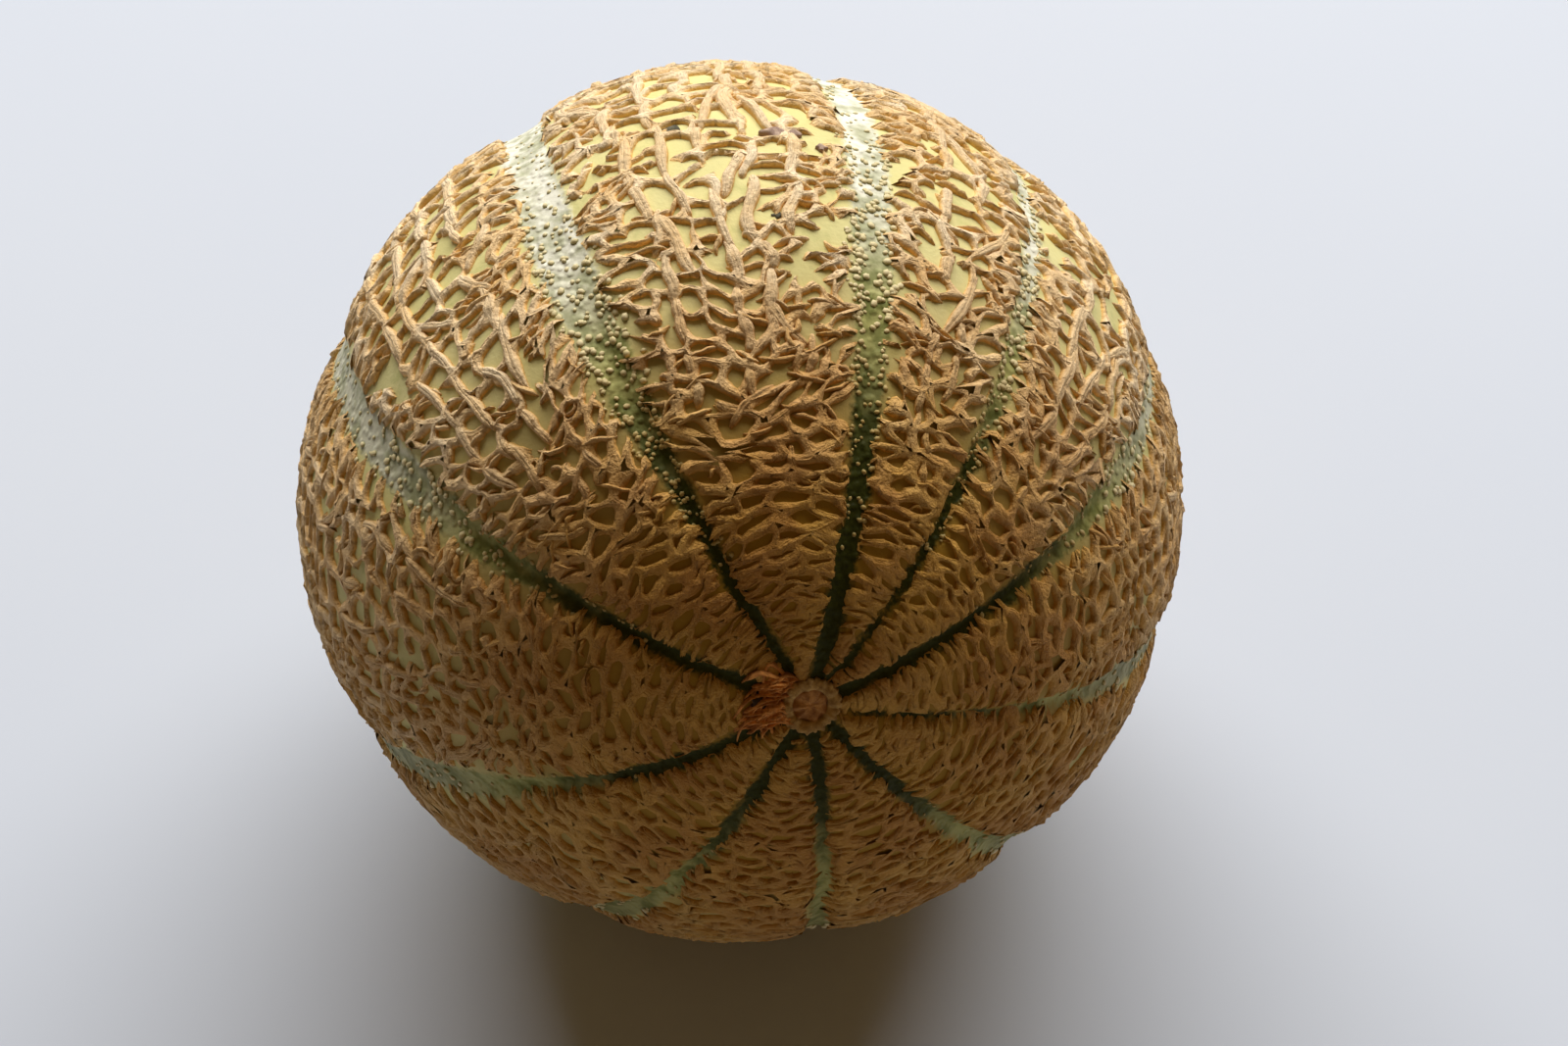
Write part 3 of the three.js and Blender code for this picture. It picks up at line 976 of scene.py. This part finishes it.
def calculate(tree, operation, *values):
    node = add_node(tree, "ShaderNodeMath", {"operation": operation})
    for socket, value in zip(node.inputs, values):
        fill_socket(tree, socket, value)
    return node.outputs[0]


def ramp(tree, value, low, high, top=1.0):
    """From 0 where the value is low to top where it is high, smooth between and level outside."""
    settings = {"interpolation_type": "SMOOTHSTEP"}
    inputs = {"Value": value, "From Min": low, "From Max": high, "To Max": top}
    return add_node(tree, "ShaderNodeMapRange", settings, **inputs).outputs["Result"]


def mix(tree, share, a, b):
    """A colour a share of the way from a to b. The share may be given as the values of a ramp."""
    if isinstance(share, tuple):
        share = ramp(tree, *share)
    node = add_node(tree, "ShaderNodeMix", {"data_type": "RGBA"})
    sockets = {socket.identifier: socket for socket in (*node.inputs, *node.outputs)}
    fill_socket(tree, sockets["Factor_Float"], share)
    for name, value in (("A_Color", a), ("B_Color", b)):
        fill_socket(tree, sockets[name], (*value, 1) if isinstance(value, tuple) else value)
    return sockets["Result_Color"]


def bump(tree, height, distance, **normal):
    node = add_node(tree, "ShaderNodeBump", {}, Height=height, Distance=distance, **normal)
    return node.outputs["Normal"]


def new_material(name):
    material = bpy.data.materials.new(name)
    material.use_nodes = True
    tree = material.node_tree
    return material, tree, tree.nodes["Principled BSDF"]


# Colours are linear red, green and blue. A pair is mixed by a noise or by an attribute.

CORK = ((0.87, 0.58, 0.25), (0.97, 0.80, 0.54))
# The feet of the ridges are oranger and darker: partly the cork's own colour, partly painted shade in the
# crevices between them
CORK_FOOT_SHADE = (0.87, 0.53, 0.16)
CORK_PATCH = (0.85, 0.52, 0.17)
CORK_SPECKLE = (0.92, 0.74, 0.46)
BROWN_CORK_AND_SHADE = ((0.54, 0.275, 0.022), (0.42, 0.175, 0.008))
# Darker in the low creases of the grain: partly the cork's darker fissures, partly painted shade
CORK_CREASE_SHADE = (0.40, 0.19, 0.025)
GRAIN_STRETCH = (2.2, 0.22, 1.0)


def cork_material():
    """Cork with a grain along its ridges. Its colour is oranger at their feet and darker in the creases of
    the grain, both partly painted shade, and browner towards the ends and on the dense ribs, partly real
    browning and partly painted shade.
    """
    material, tree, shader = new_material("cork_net")
    grain = attribute(tree, "grain", "Vector")
    settings = {"vector_type": "TEXTURE"}
    along = add_node(tree, "ShaderNodeMapping", settings, Vector=grain, Scale=GRAIN_STRETCH)
    fibre = noise_texture(tree, 1.0, 3.0, place=along.outputs["Vector"])
    speckle = noise_texture(tree, 1000, 4.0, 0.65)
    patch = ramp(tree, noise_texture(tree, 75, 3.0), 0.36, 0.64)

    colour = mix(tree, attribute(tree, "tone"), *CORK)
    # Partly painted shade: the ridges' feet take the darker orange
    colour = mix(tree, (attribute(tree, "crest"), 0.1, 0.9), CORK_FOOT_SHADE, colour)
    colour = mix(tree, calculate(tree, "MULTIPLY", patch, 0.45), colour, CORK_PATCH)
    colour = mix(tree, (speckle, 0.5, 0.75, 0.4), colour, CORK_SPECKLE)
    # Browner towards the ends and on the dense ribs: partly real browning, partly painted shade
    browning_and_shade_share = calculate(tree, "MULTIPLY", attribute(tree, "browning_and_shade"), 0.94)
    colour = mix(tree, browning_and_shade_share, colour, mix(tree, patch, *BROWN_CORK_AND_SHADE))
    # Partly painted shade: darker where the grain's bump sinks into creases
    colour = mix(tree, (fibre, 0.6, 0.38, 0.24), colour, CORK_CREASE_SHADE)

    normal = bump(tree, speckle, 0.6 * MM, Normal=bump(tree, fibre, 0.45 * MM))
    fill_inputs(tree, shader, Base_Color=colour, Roughness=0.82, Normal=normal)
    return material


BEAD_TOP = ((0.56, 0.46, 0.20), (0.76, 0.66, 0.40))
BEAD_TOP_NEAR_ENDS = (0.40, 0.27, 0.07)
BEAD_FOOT = (0.24, 0.24, 0.08)


def bead_material():
    """Small warts, cream in the middle of the fruit and ochre towards its ends."""
    material, tree, shader = new_material("suture_bead")
    speckle = noise_texture(tree, 1400, 3.0)
    top = mix(tree, noise_texture(tree, 300, 2.0), *BEAD_TOP)
    top = mix(tree, (attribute(tree, "from_end"), 58, 36), top, BEAD_TOP_NEAR_ENDS)
    colour = mix(tree, (attribute(tree, "crest"), 0.0, 0.8), BEAD_FOOT, top)
    normal = bump(tree, speckle, 0.08 * MM)
    fill_inputs(tree, shader, Base_Color=colour, Roughness=0.6, Normal=normal)
    return material


def scar_material(name, light, dark):
    """Rough cork in two colours, with the dark one in patches and round the low edges."""
    material, tree, shader = new_material(name)
    grit = noise_texture(tree, 900, 4.0, 0.65)
    patch = noise_texture(tree, 350, 2.0)
    colour = mix(tree, (grit, 0.35, 0.65), dark, light)
    colour = mix(tree, (patch, 0.55, 0.75), colour, dark)
    colour = mix(tree, (attribute(tree, "crest"), 0.9, 0.0), colour, dark)
    fill_inputs(tree, shader, Base_Color=colour, Roughness=0.85, Normal=bump(tree, grit, 0.25 * MM))
    return material


SKIN = ((0.60, 0.55, 0.20), (0.72, 0.66, 0.34))
SKIN_MOTTLE = (0.52, 0.50, 0.20)
# Ochre towards the ends: partly the skin's own colour, partly painted shade
SKIN_AT_ENDS_AND_SHADE = (0.33, 0.185, 0.02)
# The pale band's colour in the light, then a darker copy of it that is painted shade for sutures in shadow
PALE_BAND_LIT = ((0.44, 0.44, 0.29), (0.78, 0.76, 0.63))
PALE_BAND_PAINTED_SHADE = ((0.16, 0.16, 0.05), (0.32, 0.30, 0.12))
BAND_OLIVE = ((0.20, 0.21, 0.05), (0.40, 0.38, 0.13))
GROOVE_GREEN = ((0.012, 0.015, 0.001), (0.058, 0.062, 0.006))


def band_colour(tree, mottle, fine, unevenness):
    """Along a suture from its end: dark green, then olive, then pale, mixed with a darker copy that is
    painted shade where the suture lies in shadow.
    """
    beyond = attribute(tree, "beyond_green")
    pairs = (PALE_BAND_PAINTED_SHADE, PALE_BAND_LIT, BAND_OLIVE)
    painted_shade, band_in_light, olive = (mix(tree, (mottle, 0.35, 0.62), *pair) for pair in pairs)
    # Painted shade: the pale colour is darkened on the sutures that lie in shadow
    pale = mix(tree, attribute(tree, "band_in_light"), painted_shade, band_in_light)
    pale = mix(tree, (beyond, 25, 3), pale, olive)
    beyond = calculate(tree, "MULTIPLY_ADD", unevenness, 8.0, beyond)
    return mix(tree, (beyond, -14, 8), mix(tree, fine, *GROOVE_GREEN), pale)


def skin_material():
    """Yellow green skin, ochre towards the ends, partly painted shade there, with the sutures' bands over
    it.
    """
    material, tree, shader = new_material("melon_skin")
    mottle = noise_texture(tree, 260, 3.0)
    fine = noise_texture(tree, 1600, 3.0)

    skin = mix(tree, noise_texture(tree, 45, 2.0), *SKIN)
    skin = mix(tree, (mottle, 0.5, 0.75), skin, SKIN_MOTTLE)
    # Partly painted shade: the skin darkens to ochre brown towards the ends
    skin = mix(tree, (attribute(tree, "from_end"), 66, 22), skin, SKIN_AT_ENDS_AND_SHADE)

    unevenness = calculate(tree, "MULTIPLY_ADD", mottle, 2.4, -1.2)
    ragged = calculate(tree, "MULTIPLY_ADD", fine, 1.6, -0.8)
    outside = calculate(tree, "ADD", attribute(tree, "outside"), unevenness)
    in_band = ramp(tree, calculate(tree, "ADD", outside, ragged), 0.9, -0.5)
    colour = mix(tree, in_band, skin, band_colour(tree, mottle, fine, unevenness))

    settings = {"feature": "SMOOTH_F1"}
    warts = add_node(tree, "ShaderNodeTexVoronoi", settings, Vector=object_place(tree), Scale=760)
    warts = ramp(tree, warts.outputs["Distance"], 0.55, 0.1)
    normal = bump(tree, calculate(tree, "MULTIPLY", warts, in_band), 0.22 * MM)
    normal = bump(tree, fine, 0.08 * MM, Normal=normal)
    fill_inputs(tree, shader, Base_Color=colour, Roughness=0.6, Specular_IOR_Level=0.1, Normal=normal)
    return material


FLOOR = ((0.55, 0.60, 0.69), (0.585, 0.63, 0.705))


def floor_material():
    material, tree, shader = new_material("pale_surface")
    colour = mix(tree, noise_texture(tree, 6, 2.0), *FLOOR)
    fill_inputs(tree, shader, Base_Color=colour, Roughness=0.9)
    return material


# The stage

CAMERA_LENS = 50  # millimetres, as Blender has it
SENSOR_WIDTH = 22.3  # millimetres too
CAMERA_ELEVATION = radians(55)
CAMERA_DISTANCE = 565 * MM
PHOTO_WIDTH = 1600
FRUIT_OFF_MIDDLE = (-42, 20.5)  # pixels of the photo, right and up
NEAREST_SEEN = 10 * MM
FLOOR_SIZE = 6
SKY_COLOUR = (1.0, 0.67, 0.32, 1)
SKY_STRENGTH = 0.09


def add_camera():
    """The camera at the photo's viewing angle, with the fruit as far off the middle as there."""
    camera = bpy.data.objects.new("camera", bpy.data.cameras.new("camera"))
    camera.data.lens = CAMERA_LENS
    camera.data.sensor_width = SENSOR_WIDTH
    camera.data.clip_start = NEAREST_SEEN
    pixel = SENSOR_WIDTH / CAMERA_LENS / PHOTO_WIDTH * CAMERA_DISTANCE
    right, up = (pixel * offset for offset in FRUIT_OFF_MIDDLE)
    turn = Matrix.Rotation(pi / 2 - CAMERA_ELEVATION, 4, "X")
    place = Vector(CENTRE) + turn @ Vector((-right, -up, CAMERA_DISTANCE))
    camera.matrix_world = Matrix.Translation(place) @ turn
    bpy.context.scene.collection.objects.link(camera)
    bpy.context.scene.camera = camera


def add_light(name, place, aim, size, power, colour):
    """A soft rectangle of light at a place, turned to another, with its width and height."""
    lamp = bpy.data.lights.new(name, "AREA")
    lamp.shape = "RECTANGLE"
    lamp.size, lamp.size_y = size
    lamp.energy = power
    lamp.color = colour
    light = bpy.data.objects.new(name, lamp)
    heading = Vector(aim) - Vector(place)
    light.rotation_euler = heading.to_track_quat("-Z", "Y").to_euler()
    light.location = place
    bpy.context.scene.collection.objects.link(light)


def add_stage():
    bpy.ops.mesh.primitive_plane_add(size=FLOOR_SIZE)
    floor = bpy.context.object
    floor.name = "floor"
    floor.data.materials.append(floor_material())
    add_light("window", (0.12, 1.5, 1.45), (0, 0, 0.05), (2.9, 1.1), power=90, colour=(1.0, 0.985, 0.965))
    add_light("fill", (0.5, -1.0, 0.9), (0, 0, 0.06), (1.2, 1.2), power=0.7, colour=(1.0, 0.55, 0.2))
    world = bpy.data.worlds.new("soft_sky")
    world.use_nodes = True
    background = world.node_tree.nodes["Background"]
    fill_inputs(world.node_tree, background, Color=SKY_COLOUR, Strength=SKY_STRENGTH)
    bpy.context.scene.world = world
    bpy.context.scene.view_settings.view_transform = "Standard"


def build_melon():
    cork = cork_material()
    for rib in RIBS:
        build_net(rib, cork)
    skin = skin_material()
    build_skin_half("skin_blossom_half", 1, skin)
    build_skin_half("skin_stem_half", -1, skin)
    build_beads(bead_material())
    build_scars()
    build_blemishes()


add_camera()
add_stage()
build_melon()
